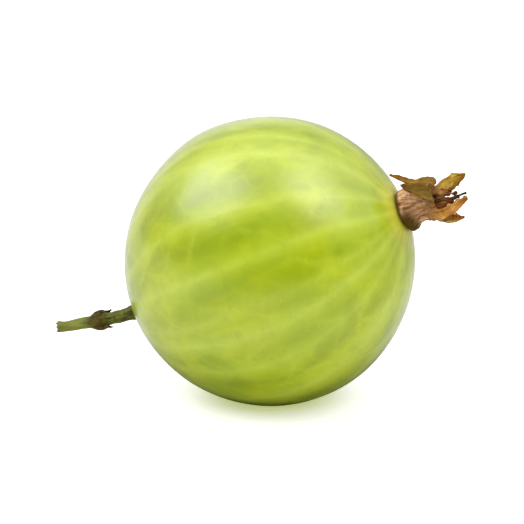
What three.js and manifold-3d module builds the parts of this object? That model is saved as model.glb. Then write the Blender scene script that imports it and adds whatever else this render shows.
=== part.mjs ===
// A green gooseberry as picked: the round berry, the stalk that it hung from and the withered flower at its
// other end. It lies on a small flat spot of its skin.
//
// Millimetres, +Z up. The origin is the middle of the flat spot. The line from the stalk to the flower lies
// in the XZ plane, with the flower end towards +X and raised above the surface.
//
// The fruit frame has its origin in the middle of the berry and +X along the berry's own length, towards the
// flower. The flower frame and the stem frame are the fruit frame with its origin moved to the berry's flower
// end and to its stalk end. In the flower frame, x is measured along the flower's drooping middle line.
import * as THREE from "three";
import { mergeVertices } from "three/addons/utils/BufferGeometryUtils.js";
import Module from "manifold-3d";

const wasm = await Module();
wasm.setup();

// Driving dimensions.
const berryLength = 22.4; // between the stalk's root and the flower's scar
const berryDiameter = 22; // across the waist
const flowerRise = 24; // slope of the berry's length above the surface, in degrees
const restSpotDepth = 0.3; // how much of the round underside the flat spot takes away
const flowerDroop = 12; // how far the flower hangs below the line of the berry, in degrees
const joinGap = 0.05; // between pieces that grow on each other

const berry = {
  segments: 60,
  rings: 30,
  crowding: 0.6, // how much closer the rings stand at the two ends, from 0 to 1
  fullness: 1.04, // power of the sine in the outline: above 1 makes the shoulders slimmer
  egg: 0.01, // how much wider the flower half is than the stalk half
  ribs: 10,
  ribHeight: 0.05,
  oval: 0.006, // two-sided and three-sided unevenness of the waist, as shares of its radius
  threeSided: 0.005,
  flowerNeck: { top: 1.5, foot: 2.9, height: 0.2 }, // low rise of the skin under the flower
  stalkNeck: { top: 0.7, foot: 1.9, height: 0.25 }, // and at the stalk's root
};

const tube = {
  // Outline of the flower tube as [distance from the berry, radius]: the swollen foot, the waist and the rim,
  // then back down inside the cup to its floor.
  floor: 0.03,
  outside: [
    [-0.09, 1.42],
    [0.1, 1.6],
    [0.5, 1.6],
    [1.0, 1.34],
    [1.5, 1.2],
    [2.0, 1.2],
    [2.4, 1.32],
  ],
  inside: [
    [2.33, 1.16],
    [1.9, 0.98],
    [1.4, 0.84],
    [1.0, 0],
  ],
  segments: 32,
  steps: 12,
};

// The five sepals stand round the tube's rim. Each has its own middle line, as [distance from the berry,
// distance from the flower's middle line], because they withered in different ways: two are folded back over
// the tube and three point forwards. An angle of 0 is the upper side and 90 is the -Y side. A sepal's tip is
// moved sideways by lean.
const sepals = [
  {
    angle: -8,
    line: [[2.5, 1.36], [2.6, 1.72], [2.15, 1.95], [1.4, 2.0], [0.75, 2.3], [0.3, 2.95]],
    width: 0.56,
    lean: 0,
  },
  {
    angle: 62,
    line: [[2.5, 1.36], [2.62, 1.75], [2.45, 2.1], [2.1, 2.3], [1.7, 2.5]],
    width: 0.6,
    lean: -1.4,
  },
  {
    angle: 134,
    line: [[2.5, 1.28], [3.1, 1.45], [3.9, 1.3], [4.7, 0.95], [5.4, 0.75]],
    width: 0.7,
    lean: -0.9,
  },
  {
    angle: 204,
    line: [[2.5, 1.28], [2.95, 1.65], [3.5, 1.85], [4.0, 1.9], [4.5, 1.85]],
    width: 0.7,
    lean: -0.3,
  },
  {
    angle: -78,
    line: [[2.5, 1.28], [3.1, 1.5], [3.8, 1.55], [4.5, 1.5], [5.1, 1.45]],
    width: 0.66,
    lean: 1.1,
  },
];
const sepal = { thickness: 0.12, curl: -0.34, sides: 12, steps: 12 };

// The petals stand inside the sepals and between them, and the stamens inside the petals.
const petal = {
  count: 5,
  firstAngle: 28,
  line: [[1.95, 0.82], [2.6, 0.98], [3.15, 0.95], [3.75, 0.8]],
  width: 0.36,
  thickness: 0.07,
  curl: -0.2,
};
const stamen = {
  count: 5,
  firstAngle: -8,
  line: [[1.3, 0.5], [2.4, 0.52], [3.5, 0.48], [4.3, 0.52]],
  radius: 0.09,
  anther: { length: 0.5, radius: 0.16 },
};
const style = { radius: 0.12, root: 1.05, fork: 3.1, tips: [[5.0, 0.4], [4.7, -0.36]] };

// The stalk's middle line in the stem frame, as [x, z]. It has a knuckle, where two small bracts clasp it, and
// ends where it was broken off. Its radii are [share of the length, radius].
const stalk = {
  line: [[0, 0], [-1.2, 0.06], [-2.4, 0.2], [-3.55, 0.42], [-5.0, 0.66], [-6.6, 1.0]],
  radii: [
    [0, 0.74],
    [0.07, 0.6],
    [0.16, 0.5],
    [0.42, 0.49],
    [0.48, 0.56],
    [0.535, 0.7],
    [0.59, 0.6],
    [0.66, 0.42],
    [0.9, 0.38],
    [1, 0.42],
  ],
  sides: 14,
  steps: 40,
  knuckle: 0.535,
};

// A bract's middle line is [distance along the stalk, away from the berry, distance from the stalk's middle].
// It starts behind the knuckle and its tip points to the berry.
const bract = {
  angles: [25, 205],
  line: [[0.62, 0.66], [0.3, 0.79], [-0.1, 0.88], [-0.5, 0.84], [-1.0, 0.92]],
  width: 0.46,
  thickness: 0.07,
  curl: 0.34,
};

const looks = {
  skin: { color: 0xb4c63c, roughness: 0.3 },
  tube: { color: 0x6b4630, roughness: 0.8 },
  sepal: { color: 0xa8713a, roughness: 0.75 },
  petal: { color: 0xc9a05a, roughness: 0.75 },
  thread: { color: 0x8a5a30, roughness: 0.7 },
  stalk: { color: 0x5d6b2c, roughness: 0.6 },
  bract: { color: 0x5a3d20, roughness: 0.8 },
};

const rad = THREE.MathUtils.degToRad;

// Moves every vertex of a geometry to where place(v) says, and leaves only the positions.
function reshape(geometry, place) {
  const positions = geometry.attributes.position;
  const v = new THREE.Vector3();
  for (let i = 0; i < positions.count; i++) {
    v.fromBufferAttribute(positions, i);
    const to = place(v);
    positions.setXYZ(i, to.x, to.y, to.z);
  }
  geometry.deleteAttribute("normal");
  geometry.deleteAttribute("uv");
  return geometry;
}

function toSolid(geometry) {
  const merged = mergeVertices(geometry, 1e-4);
  return new wasm.Manifold(
    new wasm.Mesh({
      numProp: 3,
      vertProperties: merged.attributes.position.array,
      triVerts: new Uint32Array(merged.index.array),
    }),
  );
}

function toGeometry(solid) {
  const mesh = solid.getMesh();
  return new THREE.BufferGeometry()
    .setAttribute("position", new THREE.BufferAttribute(mesh.vertProperties, 3))
    .setIndex(new THREE.BufferAttribute(mesh.triVerts, 1));
}

// A curve of [share, value] pairs, eased between its points.
function eased(pairs) {
  return (share) => {
    const last = pairs.length - 1;
    let i = 0;
    while (i < last - 1 && share > pairs[i + 1][0]) i++;
    const [[s0, v0], [s1, v1]] = [pairs[i], pairs[i + 1]];
    return v0 + (v1 - v0) * THREE.MathUtils.smoothstep(share, s0, s1);
  };
}

// A closed strip or rod that follows a line in the half plane at one angle round the x axis. It is a capped
// cylinder: its height runs along the line, its x across the strip and its z through the strip's thickness.
// curl moves the strip's edges off the line by that share of its half width, and lean moves its tip sideways.
function strip({ line, angle = 0, halfWidth, halfThickness, curl = 0, lean = 0, sides, steps, place }) {
  const curve = new THREE.SplineCurve(line.map(([x, r]) => new THREE.Vector2(x, r)));
  const out = new THREE.Vector3(0, -Math.sin(rad(angle)), Math.cos(rad(angle)));
  const across = new THREE.Vector3(1, 0, 0).cross(out);
  return reshape(new THREE.CylinderGeometry(1, 1, 1, sides, steps), (v) => {
    const share = THREE.MathUtils.clamp(v.y + 0.5, 0, 1);
    const at = curve.getPoint(share);
    const along = curve.getTangent(share);
    const off = v.z * halfThickness(share) + curl * halfWidth(share) * v.x * v.x;
    const point = new THREE.Vector3(at.x - along.y * off, 0, 0)
      .addScaledVector(out, at.y + along.x * off)
      .addScaledVector(across, v.x * halfWidth(share) + lean * share * share);
    return place ? place(point) : point;
  });
}

// The fruit's outline at an angle from its flower end: how far along the length, and how far from the axis.
function outline(polar) {
  const { fullness, egg, flowerNeck, stalkNeck } = berry;
  const wide = (berryDiameter / 2) * Math.pow(Math.sin(polar), fullness) * (1 + egg * Math.cos(polar));
  const rise = ({ top, foot, height }) => height * (1 - THREE.MathUtils.smoothstep(wide, top, foot));
  const neck = polar < Math.PI / 2 ? rise(flowerNeck) : -rise(stalkNeck);
  return { along: (berryLength / 2) * Math.cos(polar) + neck, wide };
}

// The skin is the outline turned round the x axis, with faint ribs and a slightly uneven waist.
function berrySolid() {
  const profile = [];
  for (let i = 0; i <= berry.rings; i++) {
    const share = i / berry.rings;
    const crowded = share - (berry.crowding * Math.sin(2 * Math.PI * share)) / (2 * Math.PI);
    const { along, wide } = outline(Math.PI * (1 - crowded));
    profile.push(new THREE.Vector2(i % berry.rings ? wide : 0, along));
  }
  const turned = new THREE.LatheGeometry(profile, berry.segments);
  const round = berryDiameter / 2;
  const skin = reshape(turned, (v) => {
    const wide = Math.hypot(v.x, v.z);
    const turn = Math.atan2(v.x, v.z);
    const share = wide / round;
    const swell = berry.oval * Math.cos(2 * turn + 0.6) + berry.threeSided * Math.cos(3 * turn - 1.1);
    const rib = (berry.ribHeight / round) * Math.cos(berry.ribs * turn) * share * share;
    const scale = 1 + share * swell + rib;
    return new THREE.Vector3(v.y, -v.x * scale, v.z * scale); // the lathe's axis is laid along +X
  });
  skin.applyMatrix4(fruitToRow);
  const below = new THREE.BoxGeometry(berryDiameter, berryDiameter, berryDiameter);
  below.deleteAttribute("normal");
  below.deleteAttribute("uv");
  below.translate(0, 0, -berryDiameter / 2);
  return toSolid(skin).subtract(toSolid(below));
}

// The flower's middle line leaves the berry along +X and curves down over the tube's length.
function droop(v) {
  const bendLength = tube.outside.at(-1)[0];
  const bendRadius = bendLength / rad(flowerDroop);
  const angle = rad(flowerDroop) * THREE.MathUtils.clamp(v.x / bendLength, 0, 1);
  const past = v.x - bendRadius * angle;
  return new THREE.Vector3(
    bendRadius * Math.sin(angle) + past * Math.cos(angle) + v.z * Math.sin(angle),
    v.y,
    -bendRadius * (1 - Math.cos(angle)) - past * Math.sin(angle) + v.z * Math.cos(angle),
  );
}

// The withered flower tube is a small cup, turned round the flower's middle line and then bent with it.
function tubeGeometry() {
  const points = (side) => side.map(([x, r]) => new THREE.Vector2(r, x));
  const outside = new THREE.SplineCurve(points(tube.outside)).getPoints(tube.steps);
  const profile = [new THREE.Vector2(0, tube.floor), ...outside, ...points(tube.inside)];
  const turned = new THREE.LatheGeometry(profile, tube.segments);
  return reshape(turned, (v) => droop(new THREE.Vector3(v.y, -v.x, v.z)));
}

// A sepal is narrow where it leaves the rim, widest past its middle and blunt at its tip.
function sepalGeometry({ angle, line, width, lean }) {
  return strip({
    line,
    angle,
    lean,
    halfWidth: eased([[0, width * 0.72], [0.3, width], [0.65, width * 0.86], [1, width * 0.2]]),
    halfThickness: eased([[0, sepal.thickness], [1, sepal.thickness * 0.6]]),
    curl: sepal.curl,
    sides: sepal.sides,
    steps: sepal.steps,
    place: droop,
  });
}

function petalGeometry(i) {
  return strip({
    line: petal.line,
    angle: petal.firstAngle + (360 / petal.count) * i,
    halfWidth: eased([[0, petal.width * 0.4], [0.7, petal.width], [1, petal.width * 0.5]]),
    halfThickness: eased([[0, petal.thickness], [1, petal.thickness * 0.7]]),
    curl: petal.curl,
    sides: 10,
    steps: 6,
    place: droop,
  });
}

// A stamen is a thread with a swollen anther at its end.
function stamenGeometry(i) {
  const { line, radius, anther, firstAngle, count } = stamen;
  const threadLength = line.at(-1)[0] - line[0][0];
  const swell = 1 - anther.length / threadLength;
  const thick = eased([[0, radius], [swell, radius], [(1 + swell) / 2, anther.radius], [1, radius]]);
  return strip({
    line,
    angle: firstAngle + (360 / count) * i,
    halfWidth: thick,
    halfThickness: thick,
    sides: 6,
    steps: 12,
    place: droop,
  });
}

// The style is one thread that splits in two near its end.
function styleSolid() {
  const { radius, root, fork, tips } = style;
  const branch = ([x, r]) =>
    toSolid(
      strip({
        line: [[root, 0], [(root + fork) / 2, 0], [fork, 0], [(fork + x) / 2, r * 0.35], [x, r]],
        halfWidth: eased([[0, radius], [1, radius * 0.7]]),
        halfThickness: eased([[0, radius], [1, radius * 0.7]]),
        sides: 6,
        steps: 10,
        place: droop,
      }),
    );
  return branch(tips[0]).add(branch(tips[1]));
}

function stalkGeometry() {
  return strip({
    line: stalk.line,
    halfWidth: eased(stalk.radii),
    halfThickness: eased(stalk.radii),
    sides: stalk.sides,
    steps: stalk.steps,
  });
}

// A bract is a small scale that hugs the knuckle. Its line's first number runs along the stalk there.
function bractGeometry(angle) {
  const curve = new THREE.SplineCurve(stalk.line.map(([x, z]) => new THREE.Vector2(x, z)));
  const at = curve.getPoint(stalk.knuckle);
  const along = curve.getTangent(stalk.knuckle);
  const slope = Math.atan2(along.y, along.x);
  const toKnuckle = new THREE.Matrix4()
    .makeTranslation(at.x, 0, at.y)
    .multiply(new THREE.Matrix4().makeRotationY(-slope));
  return strip({
    line: bract.line,
    angle,
    halfWidth: eased([[0, bract.width * 0.7], [0.4, bract.width], [1, bract.width * 0.15]]),
    halfThickness: eased([[0, bract.thickness], [1, bract.thickness * 0.6]]),
    curl: bract.curl,
    sides: 10,
    steps: 8,
  }).applyMatrix4(toKnuckle);
}

function piece(name, geometry, look) {
  const mesh = new THREE.Mesh(geometry, new THREE.MeshStandardMaterial({ ...look, metalness: 0 }));
  mesh.name = name;
  return mesh;
}

const centreHeight = berryDiameter / 2 - restSpotDepth;
const fruitToRow = new THREE.Matrix4()
  .makeTranslation(0, 0, centreHeight)
  .multiply(new THREE.Matrix4().makeRotationY(-rad(flowerRise)));

const gooseberry = new THREE.Group();
gooseberry.add(piece("berry", toGeometry(berrySolid()), looks.skin));

const fruit = new THREE.Group();
fruit.position.z = centreHeight;
fruit.rotation.y = -rad(flowerRise);
gooseberry.add(fruit);

const flower = new THREE.Group();
flower.position.x = outline(0).along + joinGap;
fruit.add(flower);
flower.add(piece("flower_tube", tubeGeometry(), looks.tube));
sepals.forEach((one, i) => flower.add(piece(`sepal_${i + 1}`, sepalGeometry(one), looks.sepal)));
for (let i = 0; i < petal.count; i++) {
  flower.add(piece(`petal_${i + 1}`, petalGeometry(i), looks.petal));
}
for (let i = 0; i < stamen.count; i++) {
  flower.add(piece(`stamen_${i + 1}`, stamenGeometry(i), looks.thread));
}
flower.add(piece("style", toGeometry(styleSolid()), looks.thread));

const stem = new THREE.Group();
stem.position.x = outline(Math.PI).along - joinGap;
fruit.add(stem);
stem.add(piece("stalk", stalkGeometry(), looks.stalk));
bract.angles.forEach((angle, i) => stem.add(piece(`bract_${i + 1}`, bractGeometry(angle), looks.bract)));

export default gooseberry;
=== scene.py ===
import math
import bpy
import numpy as np
from mathutils import Matrix, Vector


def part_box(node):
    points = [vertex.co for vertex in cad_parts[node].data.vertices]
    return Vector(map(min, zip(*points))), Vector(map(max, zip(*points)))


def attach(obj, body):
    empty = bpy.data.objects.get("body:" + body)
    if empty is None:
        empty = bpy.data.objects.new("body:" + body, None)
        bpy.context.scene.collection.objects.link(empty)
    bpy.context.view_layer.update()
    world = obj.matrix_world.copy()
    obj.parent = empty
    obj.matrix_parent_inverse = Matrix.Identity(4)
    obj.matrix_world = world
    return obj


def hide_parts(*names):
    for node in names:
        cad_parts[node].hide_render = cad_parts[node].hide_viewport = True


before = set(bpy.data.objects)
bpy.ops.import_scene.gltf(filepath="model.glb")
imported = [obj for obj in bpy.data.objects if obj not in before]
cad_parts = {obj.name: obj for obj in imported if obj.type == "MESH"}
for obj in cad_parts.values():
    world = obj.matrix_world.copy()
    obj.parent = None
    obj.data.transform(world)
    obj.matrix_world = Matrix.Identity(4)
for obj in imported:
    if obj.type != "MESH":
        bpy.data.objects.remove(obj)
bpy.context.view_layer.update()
mm = 0.001  # lengths below are in millimetres, and become metres where a mesh is made

# the view: one long lens a little above the table, on the side where stalk and flower both show
view = {
    "azimuth": 14.5,  # degrees round the berry, from the -Y side towards +X
    "elevation": 15.0,
    "lens": 250.0,
    "sensor": 36.0,
    "clip": (0.01, 20.0),  # metres
    "frameWidth": 40.0,  # what the picture takes in at the berry
    "aim": (-0.6, 0.0, 10.6),
}


# A new object in the scene.
def addObject(name, data):
    added = bpy.data.objects.new(name, data)
    bpy.context.scene.collection.objects.link(added)
    return added


# The camera's own right, up and back directions, from its azimuth and elevation.
def viewAxes(azimuth, elevation):
    a, e = math.radians(azimuth), math.radians(elevation)
    right = Vector((math.cos(a), math.sin(a), 0))
    back = Vector((math.sin(a) * math.cos(e), -math.cos(a) * math.cos(e), math.sin(e)))
    return right, back.cross(right), back


viewRight, viewUp, viewBack = viewAxes(view["azimuth"], view["elevation"])


def makeCamera():
    data = bpy.data.cameras.new("camera")
    data.lens, data.sensor_width = view["lens"], view["sensor"]
    data.clip_start, data.clip_end = view["clip"]
    camera = addObject("camera", data)
    distance = view["frameWidth"] * mm * view["lens"] / data.sensor_width
    turn = Matrix((viewRight, viewUp, viewBack)).transposed().to_4x4()
    camera.matrix_world = Matrix.Translation(Vector(view["aim"]) * mm + viewBack * distance) @ turn
    bpy.context.scene.camera = camera
    print("camera: %.0f mm away, %.0f mm wide at the berry" % (distance / mm, view["frameWidth"]))


makeCamera()

# shapes: every piece is rings of points worked out as whole arrays


# Values spread to one shape and stacked as vectors.
def stacked(*values):
    return np.stack(np.broadcast_arrays(*values), -1)


# Even turns round a circle, in radians.
def turns(count):
    return np.arange(count) * 2 * np.pi / count


# The way covered along a line of points, one row for each.
def lengthAlong(points):
    return np.concatenate([[0], np.cumsum(np.linalg.norm(np.diff(points, axis=0), axis=1))])[:, None]


# Points at one angle round the x axis, in degrees, from how far they lie along it, out from it and sideways.
def roundAxis(angle, along, out, sideways):
    a = math.radians(angle)
    y = out * -math.sin(a) + sideways * -math.cos(a)
    return stacked(along, y, out * math.cos(a) + sideways * -math.sin(a))


# Values eased from each (share, value) pair to the next one.
def eased(pairs, share):
    shares, values = np.array(pairs, float).T
    i = np.clip(np.searchsorted(shares, share, side="right") - 1, 0, len(shares) - 2)
    t = np.clip((share - shares[i]) / (shares[i + 1] - shares[i]), 0, 1)
    return values[i] + (values[i + 1] - values[i]) * t * t * (3 - 2 * t)


# A smooth step from 0 at low to 1 at high.
def smoothStep(x, low, high):
    t = np.clip((x - low) / (high - low), 0, 1)
    return t * t * (3 - 2 * t)


# A bell: 1 in the middle, 0.37 at its width away.
def bell(away, width):
    return np.exp(-((away / width) ** 2))


# A curve through points, each span a cubic that leaves a point along the line between its neighbours. It
# gives the places at some shares of its way, and its directions there.
def curveThrough(points, share):
    p = np.array(points, float)
    spans = len(p) - 1
    p = np.vstack([p[:1], p, p[-1:]])
    t = np.clip(share, 0, 1) * spans
    i = np.minimum(t.astype(int), spans - 1)
    t = (t - i)[:, None]
    a, b, c, d = p[i], p[i + 1], p[i + 2], p[i + 3]
    q, s = 2 * a - 5 * b + 4 * c - d, 3 * b - a - 3 * c + d
    place = 0.5 * (2 * b + (c - a) * t + q * t**2 + s * t**3)
    way = (c - a) + 2 * q * t + 3 * s * t**2
    return place, way / np.linalg.norm(way, axis=1, keepdims=True)


# A smooth seeded unevenness, about -1 to 1: sines that run in random directions at about one size, added and
# divided by the root of their number.
def wobble(points, size, seed):
    waves = 12
    chance = np.random.default_rng(seed)
    ways = chance.normal(size=(waves, points.shape[-1]))
    ways *= (chance.uniform(0.6, 1.6, waves) / np.linalg.norm(ways, axis=1))[:, None] * 2 * np.pi / size
    return np.sin(points @ ways.T + chance.uniform(0, 2 * np.pi, waves)).sum(-1) / math.sqrt(waves)


# The fruit frame has its middle in the berry and x along it, towards the flower. This tilts it into the row
# frame: a turn about y by the slope, then a lift by the height of the middle.
def fruitToRow(points):
    rise = math.radians(berry["rise"])
    x, y, z = np.moveaxis(points, -1, 0)
    tilted = [x * math.cos(rise) - z * math.sin(rise), y, x * math.sin(rise) + z * math.cos(rise)]
    return np.stack(tilted, -1) + [0, 0, berry["centreHeight"]]


# One closed skin over rings of points, [ring, place round it, xyz], with a point at each end. Marks are
# values or vectors on the same rings. If the skin encloses a negative volume, its faces are turned round.
def skinOver(name, rings, marks):
    count, around = rings.shape[:2]

    def withEnds(values):
        firstRing, lastRing = values[0].reshape(around, -1), values[-1].reshape(around, -1)
        return np.vstack([values.reshape(count * around, -1), firstRing.mean(0), lastRing.mean(0)])

    points = withEnds(rings) * mm
    at = np.arange(count * around).reshape(count, around)
    after = np.roll(at, -1, 1)
    quads = np.stack([at[:-1], after[:-1], after[1:], at[1:]], -1).reshape(-1, 4)
    first, last = np.full(around, count * around), np.full(around, count * around + 1)
    fans = np.vstack([np.stack([first, after[0], at[0]], -1), np.stack([last, at[-1], after[-1]], -1)])
    corners = np.vstack([quads[:, [0, 1, 2]], quads[:, [0, 2, 3]], fans])
    a, b, c = points[corners[:, 0]], points[corners[:, 1]], points[corners[:, 2]]
    if (a * np.cross(b, c)).sum() < 0:
        quads, fans = quads[:, ::-1], fans[:, ::-1]
    mesh = bpy.data.meshes.new(name)
    mesh.from_pydata(points.tolist(), [], quads.tolist() + fans.tolist(), shade_flat=False)
    for mark, values in marks.items():
        values = withEnds(values)
        kind, field = ("FLOAT", "value") if values.shape[1] == 1 else ("FLOAT_VECTOR", "vector")
        mesh.attributes.new(mark, kind, "POINT").data.foreach_set(field, values.ravel().astype(np.float32))
    piece = addObject(name, mesh)
    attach(piece, "root")
    return piece


# the berry

berryLow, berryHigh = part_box("berry")
waist = (berryHigh.z - berryLow.z) / mm / 0.99  # the flat spot takes the last hundredth off its height
berry = {
    "rise": 24.0,  # slope of its length above the table
    "radius": waist / 2,
    "halfLength": waist / 2 * 1.018,
    "centreHeight": waist / 2 - 0.3,
    "fullness": 1.04,
    "egg": 0.01,
    "oval": 0.006,
    "threeSided": 0.005,
    "flowerNeck": (1.5, 2.9, 0.2),  # top radius, foot radius and height of the rise under the flower
    "stalkNeck": (0.7, 1.9, 0.25),
    "rings": 190,
    "around": 512,
    "crowding": 0.45,
    "ribHeight": 0.02,
    "lumps": 0.035,
    "lumpSize": 0.9,
    "lumpSeed": 3,
    "puckers": 20,  # fine folds round both ends
    "puckerDepth": 0.05,
    "mottleSize": 2.0,
    "mottleSeed": 915,
    "flatSpotEdge": 0.05,
}
veins = {
    "count": 10,  # chief veins, with a lesser one between each two
    "jitter": 0.4,  # of the room between two veins
    "turned": 1.5,  # degrees that the whole pattern is turned round the fruit
    "sway": 0.02,
    "core": 0.32,  # half widths of a vein's bright line and of the soft glow beside it
    "glow": 0.95,
    "links": 11,  # branches on each side of each vein
    "linkCore": 0.15,
    "linkStrength": 0.34,
    "seed": 30,
}
seeds = {"count": 52, "radius": 0.8, "length": 1.9, "seed": 5}


# The outline at an angle from the flower end: how far along the fruit, and how far from its middle line.
def berryOutline(polar):
    half = berry["radius"]
    wide = half * np.sin(polar) ** berry["fullness"] * (1 + berry["egg"] * np.cos(polar))
    along = berry["halfLength"] * np.cos(polar)
    for side, (top, foot, height) in ((1, berry["flowerNeck"]), (-1, berry["stalkNeck"])):
        along = along + side * height * (1 - smoothStep(wide, top, foot)) * (side * np.cos(polar) > 0)
    return along, wide


# Vein strength by angle from the flower end and turn round the fruit. A vein runs from pole to pole with a
# small sway. Its brightness falls off as a narrow bell and a wide one. Branches fill the rooms between the
# veins: each leaves the vein on one side almost along it, swings over towards the next one and thins out.
# They are level lines of polar - slope * across^0.6, at uneven steps, each with a chance strength.
def veinMarks(polar, turn):
    chance = np.random.default_rng(veins["seed"])
    rows = 2 * veins["count"]
    half = berry["radius"]
    home = (np.arange(rows) + chance.uniform(-veins["jitter"], veins["jitter"], rows)) * 2 * np.pi / rows
    home = home + math.radians(veins["turned"])
    phase = chance.uniform(0, 2 * np.pi, rows)
    lesser = np.arange(rows) % 2 == 1
    strength = np.where(lesser, chance.uniform(0.45, 0.75, rows), chance.uniform(0.8, 1.0, rows))
    stout = np.where(lesser, chance.uniform(0.6, 0.9, rows), chance.uniform(0.9, 1.3, rows))
    reach = np.sin(polar)
    spacing = 2 * np.pi / rows * reach * half
    slim = 1.25 * spacing / (spacing + 0.8)  # veins thin out towards both ends
    main = np.zeros_like(polar)
    ahead = np.full_like(polar, 9.0)  # turn left to the next vein on this side
    behind = np.full_like(polar, 9.0)
    room = np.zeros(polar.shape, int)
    for k in range(rows):
        sway = np.sin(2.6 * polar + phase[k]) * 0.6 + np.sin(6.1 * polar + 2 * phase[k]) * 0.3
        sway = sway + np.sin(17.0 * polar + 3 * phase[k]) * 0.1
        off = (turn - home[k] - veins["sway"] * sway + np.pi) % (2 * np.pi) - np.pi
        away = np.abs(off) * reach * half / np.maximum(stout[k] * slim, 0.02)
        glow = 0.38 * bell(away, veins["core"]) + 0.62 * bell(away, veins["glow"])
        flow = 0.86 + 0.14 * np.sin(5.3 * polar + 4 * phase[k])
        main = np.maximum(main, glow * strength[k] * flow)
        forward = off % (2 * np.pi)
        room = np.where(forward < behind, k, room)
        behind = np.minimum(behind, forward)
        ahead = np.minimum(ahead, (-off) % (2 * np.pi))
    gap = (behind + ahead) * reach * half
    branches = np.zeros_like(polar)
    for across, slope in ((behind / (behind + ahead), 0.4), (ahead / (behind + ahead), 0.34)):
        start = chance.uniform(0, 1, rows)
        bend = 0.06 * np.sin(7 * polar + phase[room]) + 0.02 * np.sin(23 * polar + 5 * phase[room])
        order = (polar - slope * across**0.6 + bend) * veins["links"] / np.pi + start[room]
        number = np.clip(np.floor(order).astype(int) + 2, 0, veins["links"] + 4)
        force = chance.uniform(-0.2, 1.0, (rows, veins["links"] + 5)).clip(0)
        steep = 0.6 * slope * np.maximum(across, 0.02) ** -0.4 * half / np.maximum(gap, 0.1)
        away = np.abs(order % 1 - 0.5) * np.pi / veins["links"] * half / np.sqrt(1 + steep**2)
        thick = veins["linkCore"] * (1.25 - 0.7 * across)
        glow = 0.6 * bell(away, thick) + 0.4 * bell(away / thick, 2.6)
        branches = np.maximum(branches, glow * force[room, number] * (1 - smoothStep(across, 0.35, 1.0)))
    branches *= smoothStep(reach, 0.3, 0.6)
    return np.clip(main + veins["linkStrength"] * branches * (1 - main), 0, 1), main


# Seeds that show through the flesh: soft bells round places spread evenly over the fruit by the golden angle,
# longer along the fruit than across it.
def seedMarks(polar, turn):
    chance = np.random.default_rng(seeds["seed"])
    order = (np.arange(seeds["count"]) + 0.5) / seeds["count"]
    homePolar = np.arccos(1 - 2 * order) + chance.normal(0, 0.06, seeds["count"])
    goldenAngle = math.pi * (3 - math.sqrt(5))
    homeTurn = np.arange(seeds["count"]) * goldenAngle + chance.normal(0, 0.2, seeds["count"])
    depth = chance.uniform(0.35, 1.0, seeds["count"])
    marks = np.zeros_like(polar)
    for k in range(seeds["count"]):
        off = (turn - homeTurn[k] + np.pi) % (2 * np.pi) - np.pi
        across = off * np.sin(polar) * berry["radius"] / seeds["radius"]
        along = (polar - homePolar[k]) * berry["radius"] / seeds["length"]
        marks = np.maximum(marks, depth[k] * np.exp(-(across**2) - along**2))
    return marks


# The skin is the outline turned round the fruit's length. Its waist is a little uneven, it rises a hair along
# the chief veins, puckers in fine folds round both ends, and is pressed flat where it meets the table.
def makeBerry():
    share = np.linspace(0, 1, berry["rings"] + 2)[1:-1]
    polar = np.pi * (share - berry["crowding"] * np.sin(2 * np.pi * share) / (2 * np.pi))
    polar, turn = np.meshgrid(polar, turns(berry["around"]), indexing="ij")
    along, wide = berryOutline(polar)
    full = wide / berry["radius"]
    marks, chief = veinMarks(polar, turn)
    uneven = berry["oval"] * np.cos(2 * turn + 0.6) + berry["threeSided"] * np.cos(3 * turn - 1.1)
    lift = berry["ribHeight"] * (chief - 0.4) * full**2
    ball = stacked(np.cos(polar), -np.sin(polar) * np.sin(turn), np.sin(polar) * np.cos(turn))
    lift = lift + berry["lumps"] * wobble(ball, berry["lumpSize"], berry["lumpSeed"]) * full
    pucker = np.sin(berry["puckers"] * turn + 2 * np.sin(3 * turn)) * berry["puckerDepth"]
    nearFlower = smoothStep(wide, 1.2, 1.9) * (1 - smoothStep(wide, 2.2, 4.2)) * (np.cos(polar) > 0)
    nearStalk = smoothStep(wide, 0.6, 1.0) * (1 - smoothStep(wide, 1.2, 2.6)) * (np.cos(polar) < 0)
    lift = lift + pucker * nearFlower + 0.6 * pucker * nearStalk
    scale = 1 + full * uneven + lift / np.maximum(wide, 1.0)
    rings = fruitToRow(stacked(along, -wide * np.sin(turn) * scale, wide * np.cos(turn) * scale))
    z, edge = rings[..., 2], berry["flatSpotEdge"]
    rings[..., 2] = (z + np.sqrt(z * z + edge * edge)) / 2 - edge / 2 * bell(z / edge, 3)
    rings[..., 2] = np.maximum(rings[..., 2], 0)
    ends = stacked(
        (1 - smoothStep(wide, 1.4, 3.6)) * (np.cos(polar) > 0),
        (1 - smoothStep(wide, 0.6, 2.6)) * (np.cos(polar) < 0),
        np.cos(polar),
    )
    # the mottling is drawn out along the fruit
    drawn = np.concatenate([polar[..., None] / 4, ball[..., 1:]], -1) * berry["radius"]
    mottle = wobble(drawn, berry["mottleSize"], berry["mottleSeed"])
    looks = {"veins": marks, "seeds": seedMarks(polar, turn), "ends": ends, "mottle": mottle}
    piece = skinOver("berrySkin", rings, looks)
    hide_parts("berry")
    print("berry: %d faces" % len(piece.data.polygons))
    return piece


# where the flower and the stalk grow out, along the fruit
flowerFoot = float(berryOutline(np.array([1e-4]))[0][0])
stalkFoot = float(berryOutline(np.array([math.pi - 1e-4]))[0][0])

# the withered flower

flower = {"droop": 12.0, "bendLength": 2.4, "gap": 0.05}


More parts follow.
